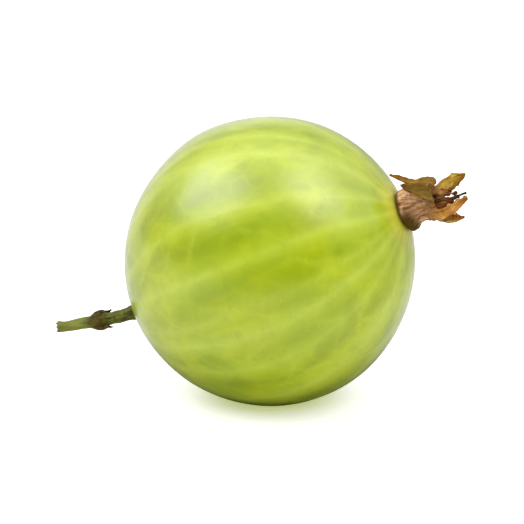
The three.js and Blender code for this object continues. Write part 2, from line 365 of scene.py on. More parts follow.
# The flower frame starts at the berry's flower end. Its x bends down along an arc over the tube's length and
# then runs straight.
def flowerToRow(points):
    droop = math.radians(flower["droop"])
    bend = flower["bendLength"] / droop
    x, y, z = np.moveaxis(points, -1, 0)
    angle = droop * np.clip(x / flower["bendLength"], 0, 1)
    past = x - bend * angle
    bent = [
        bend * np.sin(angle) + past * np.cos(angle) + z * np.sin(angle),
        y,
        -bend * (1 - np.cos(angle)) - past * np.sin(angle) + z * np.cos(angle),
    ]
    return fruitToRow(np.stack(bent, -1) + [flowerFoot + flower["gap"], 0, 0])


tube = {
    "outside": [[-0.12, 1.36], [0.1, 1.6], [0.5, 1.6], [1.0, 1.34], [1.5, 1.2], [2.0, 1.2], [2.32, 1.28]],
    "inside": [[2.32, 1.2], [1.9, 1.02], [1.4, 0.86], [1.05, 0.45], [1.0, 0.02]],
    "footRings": 8,
    "outsideRings": 70,
    "insideRings": 30,
    "around": 180,
    "folds": 10,
    "foldDepth": 0.09,
    "wrinkle": 0.055,
    "lumps": 0.04,
    "underTurn": 160.0,  # degrees round the tube to the swelling on its foot and the painted shade under it
    "swelling": 0.16,
    "ragged": 0.09,
    "seed": 21,
}


# The tube's outline runs from the middle of its foot over its outside and down into the cup. The outside is
# drawn in by ten soft folds that fade at the foot, and by small dry wrinkles that run lengthwise.
def makeTube():
    outer, _ = curveThrough(tube["outside"], np.linspace(0, 1, tube["outsideRings"]))
    inner, _ = curveThrough(tube["inside"], np.linspace(0, 1, tube["insideRings"]))
    foot = stacked(-0.06, np.linspace(0.05, 1.2, tube["footRings"]))
    outline = np.vstack([foot, outer, inner])
    seed = tube["seed"]
    turn = turns(tube["around"])[None]
    x, r = outline[:, :1], outline[:, 1:]
    row = np.arange(len(outline))[:, None] - tube["footRings"]
    isOuter = (row >= 0) & (row < tube["outsideRings"])
    wrapped = stacked(np.cos(turn) * 1.4, np.sin(turn) * 1.4, 0.22 * lengthAlong(outline))
    fold = np.cos(tube["folds"] * turn + 0.5 * np.sin(2 * turn)) * smoothStep(x, 0.3, 1.4)
    dry = wobble(wrapped, 0.5, seed) * smoothStep(x, -0.1, 0.6)
    crease = bell(wobble(wrapped, 0.42, seed + 4), 0.22)
    dry = (dry - 0.8 * crease * smoothStep(x, 0.2, 0.8)) * (1 - 0.8 * smoothStep(x, 1.9, 2.3))
    change = tube["foldDepth"] * (fold - 0.4) + tube["wrinkle"] * (dry - 0.3)
    change = change + tube["lumps"] * wobble(wrapped, 1.6, seed + 1)
    under = smoothStep(np.cos(turn - math.radians(tube["underTurn"])), -0.1, 0.6)
    radius = r + np.where(isOuter, change, 0.6 * tube["foldDepth"] * fold) * smoothStep(r, 0.2, 0.9)
    radius = radius + tube["swelling"] * under * (1 - smoothStep(x, 0.4, 1.2)) * smoothStep(r, 0.6, 1.4)
    ragged = tube["ragged"] * wobble(wrapped, 0.7, seed + 2) * smoothStep(x, 2.1, 2.4)
    place = stacked(x + ragged, -radius * np.sin(turn), radius * np.cos(turn))
    where = stacked(np.clip(x / 2.4, 0, 1), np.abs(fold), (~isOuter) * 1.0)
    # painted shade: darker on the underside of the foot and in the crease where the foot meets the berry
    paintedFootShade = under * (1 - smoothStep(x + 0.1 * dry, 0.55, 1.45))
    paintedFootShade = np.maximum(paintedFootShade, 0.9 * (1 - smoothStep(x, 0.05, 0.35)))
    piece = skinOver("witheredTube", flowerToRow(place), {"fibre": wrapped, "where": where, "paintedFootShade": paintedFootShade})
    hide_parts("flower_tube")
    return piece


# A thin leaf that follows a line in the half plane at one angle round the x axis, where 0 is up and 90 is -Y.
# Its cross-section is a flat ellipse, carried along the line. curl bends its edges off the line, lean moves
# its tip sideways, ruffle waves its edges, ribs raise lengthwise veins and ragged makes its outline uneven.
def leafRings(shape, rings=96, around=48):
    share = np.concatenate([[0.002], np.linspace(0.01, 0.99, rings - 2), [0.998]])
    place, way = curveThrough(shape["line"], share)
    turn = turns(around)[None]
    x, z, s = np.sin(turn), np.cos(turn), share[:, None]
    seed = shape["seed"]
    sides = stacked(x * 1.5, 3 * s)
    width = eased(shape["widths"], s) * (1 + shape["ragged"] * wobble(sides, 0.45, seed))
    thick = eased(shape["thicknesses"], s)
    veinLine = np.cos(shape["ribs"] * np.pi * x) * shape["ribHeight"]
    wave = shape["ruffle"] * np.abs(x) ** 1.5 * wobble(sides + 7, 0.9, seed + 3)
    crinkle = shape["crinkle"] * wobble(stacked(x * 2, 6 * s), 0.8, seed + 5)
    off = z * (thick + veinLine) + shape["curl"] * width * x * x + wave + crinkle
    off = off * smoothStep(s, -0.02, 0.05)
    sideways = x * width + shape.get("lean", 0) * s * s
    along, radial = way[:, :1], way[:, 1:]
    body = roundAxis(shape["angle"], place[:, :1] - radial * off, place[:, 1:] + along * off, sideways)
    fibre = stacked(x * width * 1.2, z * 0.4, lengthAlong(place) * 0.14)
    return body, {"fibre": fibre, "where": stacked(s, np.abs(x), (z > 0) * 1.0)}


sepal = {
    "thicknesses": [[0, 0.03], [0.18, 0.115], [0.45, 0.07], [1, 0.045]],
    "baseWidth": 0.72,
    "curl": -0.34, "ribs": 5, "ribHeight": 0.016, "ruffle": 0.1, "crinkle": 0.04, "ragged": 0.05,
}
# A sepal's shade darkens it as painted shade where it lies in shadow, and the fifth sepal's painted shade
# rises towards its lower edge.
sepals = [
    {
        "angle": 12, "width": 0.6, "lean": -0.7, "tint": 0.3, "shade": 0.78,
        "line": [[1.8, 1.1], [2.35, 1.28], [2.58, 1.5], [2.2, 1.66], [1.4, 1.7], [0.7, 2.05], [0.0, 2.85]],
    },
    {
        "angle": 62, "width": 0.66, "lean": -1.3, "tint": 0.45, "shade": 0.86,
        "line": [
            [1.8, 1.1], [2.35, 1.28], [2.62, 1.55], [2.35, 1.78], [1.75, 1.78], [1.15, 1.82], [0.7, 2.0],
        ],
    },
    {
        "angle": 130, "width": 0.6, "lean": -0.9, "tint": 1.0,
        "line": [[1.7, 1.1], [2.35, 1.26], [3.1, 1.45], [3.9, 1.3], [4.7, 0.95], [5.3, 0.75]],
    },
    {
        "angle": 192, "width": 0.7, "lean": -0.3, "tint": 0.7, "shade": 0.45,
        "line": [[1.7, 1.1], [2.35, 1.26], [2.95, 1.55], [3.5, 1.62], [4.0, 1.55], [4.5, 1.4]],
    },
    {
        "angle": -68, "width": 0.76, "lean": 0.82, "tint": 0.0, "paintedEdgeShade": 0.9,
        "line": [[1.7, 1.1], [2.35, 1.28], [2.95, 1.85], [3.6, 2.12], [4.2, 2.15], [4.8, 1.98]],
    },
]


# Each sepal's width goes by its own number from the middle on. Its shade is painted shade, darker where the
# sepal lies in shadow, and it may rise towards its lower edge.
def makeSepals():
    pieces = []
    for i, one in enumerate(sepals):
        w = one["width"]
        base = sepal["baseWidth"]
        widths = [[0, base * 0.9], [0.18, base], [0.42, w], [0.7, w * 0.84], [0.9, w * 0.42], [1, w * 0.1]]
        rings, marks = leafRings({**sepal, **one, "widths": widths, "seed": 31 + i})
        marks["tint"] = np.full(rings.shape[:2], one["tint"])
        # painted shade: darker sepals where they lie in shadow, rising towards the lower edge
        low = smoothStep(-marks["fibre"][..., 0], 0.1, w)
        marks["shade"] = one.get("shade", 0.0) + one.get("paintedEdgeShade", 0.0) * low
        piece = skinOver("witheredSepal%d" % (i + 1), flowerToRow(rings), marks)
        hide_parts("sepal_%d" % (i + 1))
        pieces.append(piece)
    return pieces


petal = {
    "line": [[1.95, 0.82], [2.6, 0.98], [3.15, 0.95], [3.75, 0.8]],
    "widths": [[0, 0.14], [0.7, 0.36], [0.92, 0.26], [1, 0.08]],
    "thicknesses": [[0, 0.05], [1, 0.03]],
    "curl": -0.2, "ribs": 2, "ribHeight": 0.012, "ruffle": 0.06, "crinkle": 0.018, "ragged": 0.08,
    "firstAngle": 28,
    "count": 5,
}


# The petals stand at even turns inside the sepals.
def makePetals():
    pieces = []
    for i in range(petal["count"]):
        angle = petal["firstAngle"] + i * 360 / petal["count"]
        rings, marks = leafRings({**petal, "angle": angle, "seed": 51 + i}, 56, 36)
        piece = skinOver("driedPetal%d" % (i + 1), flowerToRow(rings), marks)
        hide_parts("petal_%d" % (i + 1))
        pieces.append(piece)
    return pieces


# A round thread that follows a line, with a radius for each share of its length and a slight kink here and
# there. It lies in the half plane at one angle round the x axis, as a leaf does.
def threadRings(line, radii, angle, seed, rings=60, around=16, kink=0.0, furrow=0.0):
    share = np.concatenate([[0.001], np.linspace(0.01, 0.99, rings - 2), [0.999]])
    place, way = curveThrough(line, share)
    turn, s = turns(around)[None], share[:, None]
    radius = eased(radii, s) * (1 + 0.1 * wobble(stacked(np.cos(turn), 9 * s), 1.1, seed))
    radius = radius * (1 - furrow * bell(np.sin(turn / 2), 0.3))
    bend = kink * smoothStep(s, 0, 0.15)
    off = radius * np.cos(turn) + bend * wobble(s * 3, 0.7, seed + 1)[:, None]
    sideways = radius * np.sin(turn) + bend * wobble(s * 3, 0.7, seed + 2)[:, None]
    along, radial = way[:, :1], way[:, 1:]
    body = roundAxis(angle, place[:, :1] - radial * off, place[:, 1:] + along * off, sideways)
    fibre = stacked(radius * np.cos(turn), radius * np.sin(turn), 0.25 * lengthAlong(place))
    return body, {"fibre": fibre, "where": stacked(s, 0 * turn, 0.0)}


stamen = {
    "line": [[1.1, 0.45], [2.4, 0.52], [3.5, 0.48], [4.3, 0.52]],
    "radii": [[0, 0.09], [0.78, 0.075], [0.84, 0.15], [0.95, 0.16], [1, 0.05]],
    "firstAngle": -8,
    "count": 5,
}
style = {
    "radius": 0.11,
    "stem": [[0.95, 0], [2.0, 0.02], [3.1, 0.03], [4.05, 0.2], [5.0, 0.4]],
    "branch": [[2.85, 0.04], [3.25, -0.07], [3.9, -0.22], [4.7, -0.36]],
}


def makeStamens():
    pieces = []
    for i in range(stamen["count"]):
        angle = stamen["firstAngle"] + i * 360 / stamen["count"]
        rings, marks = threadRings(stamen["line"], stamen["radii"], angle, 61 + i, 70, 18, 0.04, 0.25)
        piece = skinOver("driedStamen%d" % (i + 1), flowerToRow(rings), marks)
        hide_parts("stamen_%d" % (i + 1))
        pieces.append(piece)
    return pieces


# The style is one thread with a second that leaves its side at the fork, joined in one skin.
def makeStyle():
    r = style["radius"]
    halves = []
    for i, (line, root) in enumerate(((style["stem"], 1.0), (style["branch"], 0.7))):
        radii = [[0, r * root], [0.6, r * 0.9], [0.92, r * 0.75], [0.97, r * 1.1], [1, r * 0.5]]
        rings, marks = threadRings(line, radii, 0, 71 + i)
        halves.append(skinOver("styleHalf%d" % i, flowerToRow(rings), marks))
    joined = halves[0]
    union = joined.modifiers.new("join", "BOOLEAN")
    union.operation, union.object, union.solver = "UNION", halves[1], "MANIFOLD"
    bpy.context.view_layer.update()
    mesh = bpy.data.meshes.new_from_object(joined.evaluated_get(bpy.context.evaluated_depsgraph_get()))
    for half in halves:
        bpy.data.objects.remove(half)
    mesh.name = "driedStyle"
    mesh.shade_smooth()
    piece = addObject("driedStyle", mesh)
    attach(piece, "root")
    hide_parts("style")
    return piece


# the stalk and its bracts

stalk = {
    "line": [[0.12, 0], [-1.2, 0.06], [-2.4, 0.2], [-3.55, 0.42], [-5.0, 0.66], [-6.6, 1.0]],
    "radii": [
        [0, 0.8], [0.07, 0.62], [0.16, 0.5], [0.4, 0.48], [0.47, 0.58],
        [0.535, 0.7], [0.6, 0.62], [0.67, 0.43], [0.9, 0.38], [1, 0.43],
    ],
    "length": 6.9,
    "knuckle": 0.535,
    "scars": (0.49, 0.565, 0.6, 0.08),
    # rings of the broken end, which turn in to a shrunken middle: size, way back, share of cut tissue
    "brokenEnd": ((0.86, 0.0, 0.3), (0.74, 0.1, 0.8), (0.6, 0.2, 1.0), (0.35, 0.24, 1.0), (0.12, 0.22, 1.0)),
    "ridges": 9,
    "rings": 190,
    "around": 96,
    "seed": 81,
}


# The stalk's middle line lies in the fruit's own XZ plane and starts at the berry's stalk end.
def stemToRow(points):
    return fruitToRow(points + [stalkFoot - flower["gap"], 0, 0])


# The stalk is a round section carried along its line. It has shallow lengthwise ridges, ring scars on both
# sides of the knuckle, dry lumps, and a ragged hollow end where it broke off.
def makeStalk():
    share = np.linspace(0.0, 1, stalk["rings"])
    place, way = curveThrough(stalk["line"], share)
    turn, s = turns(stalk["around"])[None], share[:, None]
    seed = stalk["seed"]
    around = stacked(np.cos(turn) * 0.7, np.sin(turn) * 0.7, 7 * s)
    onKnuckle = bell(s - stalk["knuckle"], 0.06)
    ridge = np.cos(stalk["ridges"] * turn + 1.2 * np.sin(9 * s))
    radius = eased(stalk["radii"], s) + 0.02 * ridge * (1 - onKnuckle) * smoothStep(s, 0.06, 0.2)
    radius = radius + 0.03 * wobble(around * [1, 1, 0.3], 0.5, seed)
    radius = radius + onKnuckle * 0.07 * wobble(around, 0.45, seed + 1)
    for scar in stalk["scars"]:
        radius = radius - 0.045 * bell(s - scar - 0.004 * np.sin(2 * turn), 0.006)
    off, sideways = radius * np.cos(turn), radius * np.sin(turn)
    bow = 0.05 * np.sin(2.2 * np.pi * s) * smoothStep(s, 0, 0.2)
    along, rise = way[:, :1], way[:, 1:]
    rings = stacked(place[:, :1] - rise * off, sideways + bow, place[:, 1:] + along * off)
    onward = np.array([way[-1, 0], 0, way[-1, 1]])
    jag = 0.09 * wobble(around, 0.5, seed + 2) + 0.03 * wobble(around, 0.2, seed + 3) + 0.04
    rings = rings + (smoothStep(s, 0.985, 1.0) * jag)[..., None] * onward
    middle = np.array([place[-1, 0], bow[-1, 0], place[-1, 1]])
    closing = [middle + (rings[-1] - middle) * size - back * onward for size, back, _ in stalk["brokenEnd"]]
    rings = np.concatenate([rings, closing])
    shares = np.append(share, np.ones(len(closing)))[:, None]
    cut = np.append(np.zeros(len(share)), [depth for _, _, depth in stalk["brokenEnd"]])[:, None]
    marks = {
        "fibre": stacked(np.cos(turn) * 0.5, np.sin(turn) * 0.5, 0.25 * stalk["length"] * shares),
        "where": stacked(shares, cut, 0 * turn),
        "knuckle": bell(shares - stalk["knuckle"], 0.085) + 0 * turn,
    }
    piece = skinOver("driedStalk", stemToRow(rings), marks)
    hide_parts("stalk")
    return piece


bract = {
    "angles": [25, 205],
    "line": [[0.6, 0.5], [0.3, 0.68], [-0.1, 0.76], [-0.5, 0.66], [-0.98, 0.68]],
    "widths": [[0, 0.4], [0.4, 0.5], [0.8, 0.26], [1, 0.04]],
    "thicknesses": [[0, 0.06], [1, 0.035]],
    "curl": 0.42, "ribs": 5, "ribHeight": 0.01, "ruffle": 0.03, "crinkle": 0.015, "ragged": 0.06,
}


# A bract's line starts behind the knuckle and points to the berry. Its first number runs along the stalk.
def makeBracts():
    at, way = curveThrough(stalk["line"], np.array([stalk["knuckle"]]))
    slope = math.atan2(way[0, 1], way[0, 0])
    turned = Matrix.Rotation(-slope, 3, "Y")
    pieces = []
    for i, angle in enumerate(bract["angles"]):
        rings, marks = leafRings({**bract, "angle": angle, "seed": 91 + i}, 48, 32)
        rings = rings @ np.array(turned).T + [at[0, 0], 0, at[0, 1]]
        piece = skinOver("knuckleBract%d" % (i + 1), stemToRow(rings), marks)
        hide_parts("bract_%d" % (i + 1))
        pieces.append(piece)
    return pieces


berryPiece = makeBerry()
tubePiece = makeTube()
sepalPieces = makeSepals()
petalPieces = makePetals()
threadPieces = makeStamens() + [makeStyle()]
stalkPiece = makeStalk()
bractPieces = makeBracts()
flowerCount = 1 + len(sepalPieces + petalPieces + threadPieces)
print("flower: %d pieces, stalk: %d pieces" % (flowerCount, 1 + len(bractPieces)))

# finishes


# An sRGB colour, 0 to 255, in linear light.
def colour(*values):
    return [((c / 255 + 0.055) / 1.055) ** 2.4 if c > 10 else c / 255 / 12.92 for c in values] + [1.0]


# A node with its settings and feeds. A socket is linked, anything else is set.
def add(tree, kind, feeds=None, **settings):
    node = tree.nodes.new(kind)
    for name, value in settings.items():
        setattr(node, name, value)
    for name, value in (feeds or {}).items():
        if isinstance(value, bpy.types.NodeSocket):
            tree.links.new(value, node.inputs[name])
        else:
            node.inputs[name].default_value = value
    return node


def calc(tree, operation, a, b=0.0, c=0.0):
    return add(tree, "ShaderNodeMath", {0: a, 1: b, 2: c}, operation=operation).outputs[0]


def mixed(tree, factor, a, b):
    return add(tree, "ShaderNodeMix", {0: factor, 6: a, 7: b}, data_type="RGBA").outputs[2]


# A value stretched from one range to another and held there.
def ranged(tree, value, low, high, outLow=0.0, outHigh=1.0):
    feeds = {"Value": value, "From Min": low, "From Max": high, "To Min": outLow, "To Max": outHigh}
    return add(tree, "ShaderNodeMapRange", feeds, interpolation_type="SMOOTHSTEP").outputs[0]


def noise(tree, vector, scale, detail, roughness=0.5, distortion=0.0):
    feeds = {"Vector": vector, "Scale": scale, "Detail": detail}
    feeds |= {"Roughness": roughness, "Distortion": distortion}
    return add(tree, "ShaderNodeTexNoise", feeds).outputs


def mark(tree, name, kind="Fac"):
    return add(tree, "ShaderNodeAttribute", attribute_name=name).outputs[kind]


def parts(tree, vector):
    return add(tree, "ShaderNodeSeparateXYZ", {0: vector}).outputs


def newGroup(name, inputs, outputs):
    group = bpy.data.node_groups.new(name, "ShaderNodeTree")
    for side, sockets in (("INPUT", inputs), ("OUTPUT", outputs)):
        for socket, kind in sockets.items():
            group.interface.new_socket(socket, in_out=side, socket_type=kind)
    return group, group.nodes.new("NodeGroupInput").outputs, group.nodes.new("NodeGroupOutput").inputs


number, shade, vector = "NodeSocketFloat", "NodeSocketColor", "NodeSocketVector"


# Dry plant tissue: fine streaks along the fibre, larger blots, and a darkening towards the tip and the edge.
def makeTissueGroup():
    inputs = {"Position": vector, "Fibre": vector, "Along": number, "Edge": number}
    inputs |= {"Light": shade, "Middle": shade, "Dark": shade, "Streaks": number, "Blots": number}
    outputs = {"Colour": shade, "Roughness": number, "Height": number}
    group, given, out = newGroup("driedTissue", inputs, outputs)
    streak = noise(group, given["Fibre"], given["Streaks"], 4.0, 0.6)[0]
    thin = noise(group, given["Fibre"], calc(group, "MULTIPLY", given["Streaks"], 2.7), 2.0, 0.55)[0]
    blot = noise(group, given["Position"], given["Blots"], 3.0, 0.6, 0.4)[0]
    tone = mixed(group, ranged(group, streak, 0.36, 0.62), given["Dark"], given["Middle"])
    tone = mixed(group, ranged(group, blot, 0.42, 0.66), tone, given["Light"])
    tip = ranged(group, given["Along"], 0.76, 1.0, 0.0, 0.8)
    rim = ranged(group, given["Edge"], 0.86, 1.0, 0.0, 0.45)
    for mask in (ranged(group, thin, 0.46, 0.3, 0.0, 0.55), calc(group, "MAXIMUM", tip, rim)):
        tone = mixed(group, mask, tone, given["Dark"])
    height = calc(group, "MULTIPLY_ADD", streak, 0.7, calc(group, "MULTIPLY", thin, 0.3))
    group.links.new(tone, out["Colour"])
    group.links.new(ranged(group, blot, 0.3, 0.7, 0.62, 0.82), out["Roughness"])
    group.links.new(height, out["Height"])
    return group


# Small round pores: dots at the middle of cells, whose size differs from cell to cell.
def makePoreGroup():
    inputs = {"Position": vector, "Scale": number, "Size": number}
    group, given, out = newGroup("pores", inputs, {"Mask": number, "Height": number})
    cells = add(group, "ShaderNodeTexVoronoi", {"Vector": given["Position"], "Scale": given["Scale"]})
    chance = parts(group, cells.outputs["Color"])[0]
    size = calc(group, "MULTIPLY", calc(group, "MULTIPLY_ADD", chance, 0.7, 0.3), given["Size"])
    inside = calc(group, "DIVIDE", cells.outputs["Distance"], size)
    dot = ranged(group, inside, 1.0, 0.45)
    group.links.new(dot, out["Mask"])
    group.links.new(calc(group, "MULTIPLY", dot, chance), out["Height"])
    return group


tissueGroup, poreGroup = makeTissueGroup(), makePoreGroup()


# A material, its tree, its shader and its object coordinates.
def newMaterial(name, values):
    material = bpy.data.materials.new(name)
    material.use_nodes = True
    tree = material.node_tree
    shader = tree.nodes["Principled BSDF"]
    for socket, value in values.items():
        shader.inputs[socket].default_value = value
    return material, tree, shader, add(tree, "ShaderNodeTexCoord").outputs["Object"]


def bumped(tree, shader, height, relief, strength):
    bump = add(tree, "ShaderNodeBump", {"Height": height, "Distance": relief * mm, "Strength": strength})
    tree.links.new(bump.outputs[0], shader.inputs["Normal"])


# The shades of one look mixed over a first tone, each by its own mask. The result colours the pieces.
def finish(pieces, material, tone, layers, look):
    tree = material.node_tree
    for mask, name in layers:
        tone = mixed(tree, mask, tone, colour(*look[name]))
    tree.links.new(tone, tree.nodes["Principled BSDF"].inputs["Base Color"])
    for piece in pieces:
        piece.data.materials.clear()
        piece.data.materials.append(material)


skin = {
    "flesh": (170, 190, 0),
    "ripe": (188, 202, 1),
    "deep": (140, 164, 0),
    "vein": (213, 228, 88),
    "net": (198, 214, 18),
    "seed": (142, 154, 0),
    "flowerEnd": (220, 212, 76),
    "stalkEnd": (162, 190, 40),
    "stalkRing": (100, 124, 22),
    "pore": (218, 228, 84),
    "bloom": (200, 218, 20),
    "passing": 0.55,  # share of the light that goes into the flesh
    "passColours": (0.9, 1.0, 0.3),  # how far red, green and blue go, as shares of the depth
    "passDepth": 1.8,
    "patches": 190.0,  # a metre, like the next five
    "specks": 900.0,
    "netBends": 420.0,
    "netCells": 620.0,
    "bloomPatches": 320.0,
    "peel": 2600.0,
    "netBend": 1.6,
    "pores": ((1100.0, 0.13), (2300.0, 0.17)),  # how many a metre, and their size in cells
    "relief": 0.03,
}


# Translucent skin: mottled flesh with seeds and pale veins under it, a faint bloom in patches and pores.
def dressBerry():
    values = {
        "Subsurface Weight": skin["passing"],
        "Subsurface Radius": skin["passColours"],
        "Subsurface Scale": skin["passDepth"] * mm,
        "IOR": 1.45,
        "Specular IOR Level": 0.35,
        "Coat Weight": 1.0,
        "Coat Roughness": 0.17,
    }
    material, tree, shader, place = newMaterial("gooseberrySkin", values)
    veinMark = mark(tree, "veins")
    ends = parts(tree, mark(tree, "ends", "Vector"))
    patches = noise(tree, place, skin["patches"], 2.0)[0]
    specks = noise(tree, place, skin["specks"], 4.0, 0.6)[0]
    bends = {0: noise(tree, place, skin["netBends"], 2.0)[1], 1: (skin["netBend"] * mm,) * 3, 2: place}
    bent = add(tree, "ShaderNodeVectorMath", bends, operation="MULTIPLY_ADD").outputs[0]
    feeds = {"Vector": bent, "Scale": skin["netCells"]}
    cells = add(tree, "ShaderNodeTexVoronoi", feeds, feature="DISTANCE_TO_EDGE")
    net = ranged(tree, cells.outputs["Distance"], 0.16, 0.0, 0.0, 0.25)
    veil = calc(tree, "MULTIPLY", veinMark, ranged(tree, specks, 0.25, 0.75, 1.0, 0.7))
    layers = [
        (ranged(tree, patches, 0.35, 0.65), "ripe"),
        (ranged(tree, specks, 0.45, 0.75, 0.0, 0.35), "deep"),
        (ranged(tree, mark(tree, "mottle"), -0.1, 1.2, 0.0, 0.42), "deep"),
        (calc(tree, "MULTIPLY", mark(tree, "seeds"), 0.6), "seed"),
        (calc(tree, "MULTIPLY", net, ranged(tree, patches, 0.35, 0.6)), "net"),
        (ranged(tree, veinMark, 0.22, 0.0, 0.0, 0.24), "deep"),
        (calc(tree, "MULTIPLY", veil, 0.7), "vein"),
        (calc(tree, "MULTIPLY", ends[0], 0.8), "flowerEnd"),
        (calc(tree, "MULTIPLY", ends[1], 0.7), "stalkEnd"),
        (ranged(tree, ends[1], 0.8, 1.0, 0.0, 0.75), "stalkRing"),
    ]
    pits = []
    for scale, size in skin["pores"]:
        feeds = {"Position": place, "Scale": scale, "Size": size}
        pores = add(tree, "ShaderNodeGroup", feeds, node_tree=poreGroup).outputs
        layers.append((calc(tree, "MULTIPLY", pores["Mask"], 0.3), "pore"))
        pits.append(pores["Height"])
    bloom = noise(tree, place, skin["bloomPatches"], 5.0, 0.65, 0.6)[0]
    layers.append((ranged(tree, bloom, 0.5, 0.8, 0.0, 0.22), "bloom"))
    tree.links.new(ranged(tree, bloom, 0.3, 0.75, 0.3, 0.44), shader.inputs["Roughness"])
    raised = calc(tree, "MULTIPLY_ADD", veinMark, 0.5, noise(tree, place, skin["peel"], 2.0)[0])
    height = calc(tree, "MULTIPLY_ADD", calc(tree, "ADD", *pits), -0.5, raised)
    bumped(tree, shader, height, skin["relief"], 0.5)
    finish([berryPiece], material, colour(*skin["flesh"]), layers, skin)


# Dry finishes: three shades and those laid over them, the scales of streaks and blots, the relief, and the
# share of light that goes in with its depth.
dry = {
    "witheredTubeFinish": {
        "shades": ((244, 202, 158), (217, 166, 122), (124, 80, 42)),
        # painted shade on the foot's underside and in its crease
        "paintedFootShade": (80, 58, 0),
        # painted shade inside the cup
        "paintedCupShade": (70, 34, 8),
        "streaks": 4.2, "blots": 900.0, "relief": 0.06, "passing": (0.1, 0.3),
    },
    "witheredSepalFinish": {
        "shades": ((244, 226, 112), (226, 200, 78), (150, 112, 28)),
        "tinted": ((232, 178, 96), (204, 144, 64), (116, 68, 20)),
        # the colour of the painted shade on sepals that lie in shadow
        "paintedShade": (96, 70, 12),
        "foot": (168, 122, 86),
        "streaks": 3.6, "blots": 1100.0, "relief": 0.04, "passing": (0.35, 0.4),
    },
    "driedPetalFinish": {
        "shades": ((178, 134, 76), (138, 94, 44), (74, 42, 12)),
        "streaks": 4.5, "blots": 1600.0, "relief": 0.03, "passing": (0.35, 0.4),
    },
    "driedThreadFinish": {
        "shades": ((160, 112, 64), (122, 78, 38), (66, 38, 14)),
        "anther": (70, 40, 12),
        "streaks": 5.0, "blots": 2200.0, "relief": 0.02, "passing": (0.15, 0.2),
    },
    "stalkFinish": {
        "shades": ((128, 134, 54), (102, 106, 40), (60, 54, 20)),
        "shoot": (144, 150, 70),
        "knuckle": (80, 58, 20),
        "cut": (168, 150, 100),
        "streaks": 4.2, "blots": 800.0, "relief": 0.06, "passing": (0.1, 0.4),
        "coat": {"Coat Weight": 0.05, "Coat Roughness": 0.4},
    },
    "bractFinish": {
        "shades": ((124, 96, 52), (88, 66, 28), (46, 32, 10)),
        "streaks": 5.0, "blots": 1800.0, "relief": 0.03, "passing": (0.1, 0.2),
    },
}


# One dry finish, on its pieces. makeLayers gives the masks for the shades that are laid over the tissue.
def dressDry(pieces, name, makeLayers=lambda tree, where: []):
    look = dry[name]
    weight, depth = look["passing"]
    values = {"Subsurface Weight": weight, "Subsurface Scale": depth * mm, **look.get("coat", {})}
    values |= {"IOR": 1.4, "Specular IOR Level": 0.25}
    material, tree, shader, place = newMaterial(name, values)
    where = parts(tree, mark(tree, "where", "Vector"))
    shades = [colour(*one) for one in look["shades"]]
    if "tinted" in look:
        tint = mark(tree, "tint")
        shades = [mixed(tree, tint, a, colour(*b)) for a, b in zip(shades, look["tinted"])]
    feeds = dict(zip(("Light", "Middle", "Dark"), shades))
    feeds |= {"Position": place, "Fibre": mark(tree, "fibre", "Vector"), "Along": where[0], "Edge": where[1]}
    feeds |= {"Streaks": look["streaks"], "Blots": look["blots"]}
    tissue = add(tree, "ShaderNodeGroup", feeds, node_tree=tissueGroup).outputs
    tree.links.new(tissue["Roughness"], shader.inputs["Roughness"])
    bumped(tree, shader, tissue["Height"], look["relief"], 0.9)
    finish(pieces, material, tissue["Colour"], makeLayers(tree, where), look)


dressBerry()
dressDry([tubePiece], "witheredTubeFinish", lambda tree, where: [
    # painted shade on the foot's underside and in its crease
    (mark(tree, "paintedFootShade"), "paintedFootShade"),
    # painted shade inside the cup
    (calc(tree, "MULTIPLY", where[2], 0.8), "paintedCupShade"),
])
dressDry(sepalPieces, "witheredSepalFinish", lambda tree, where: [
    # painted shade on sepals that lie in shadow
    (mark(tree, "shade"), "paintedShade"),
    (ranged(tree, where[0], 0.42, 0.12, 0.0, 0.9), "foot"),
])
dressDry(petalPieces, "driedPetalFinish")
dressDry(threadPieces, "driedThreadFinish", lambda tree, where: [
    (ranged(tree, where[0], 0.78, 0.84, 0.0, 0.6), "anther"),
])
dressDry([stalkPiece], "stalkFinish", lambda tree, where: [
    (ranged(tree, where[0], 0.6, 0.8, 0.0, 0.6), "shoot"),
    (calc(tree, "MULTIPLY", mark(tree, "knuckle"), 0.85), "knuckle"),
    (where[1], "cut"),
])
dressDry(bractPieces, "bractFinish")
print("finishes: %d materials" % len(bpy.data.materials))

# the studio: a wide pale floor, a fill lamp, and a sky with two softboxes

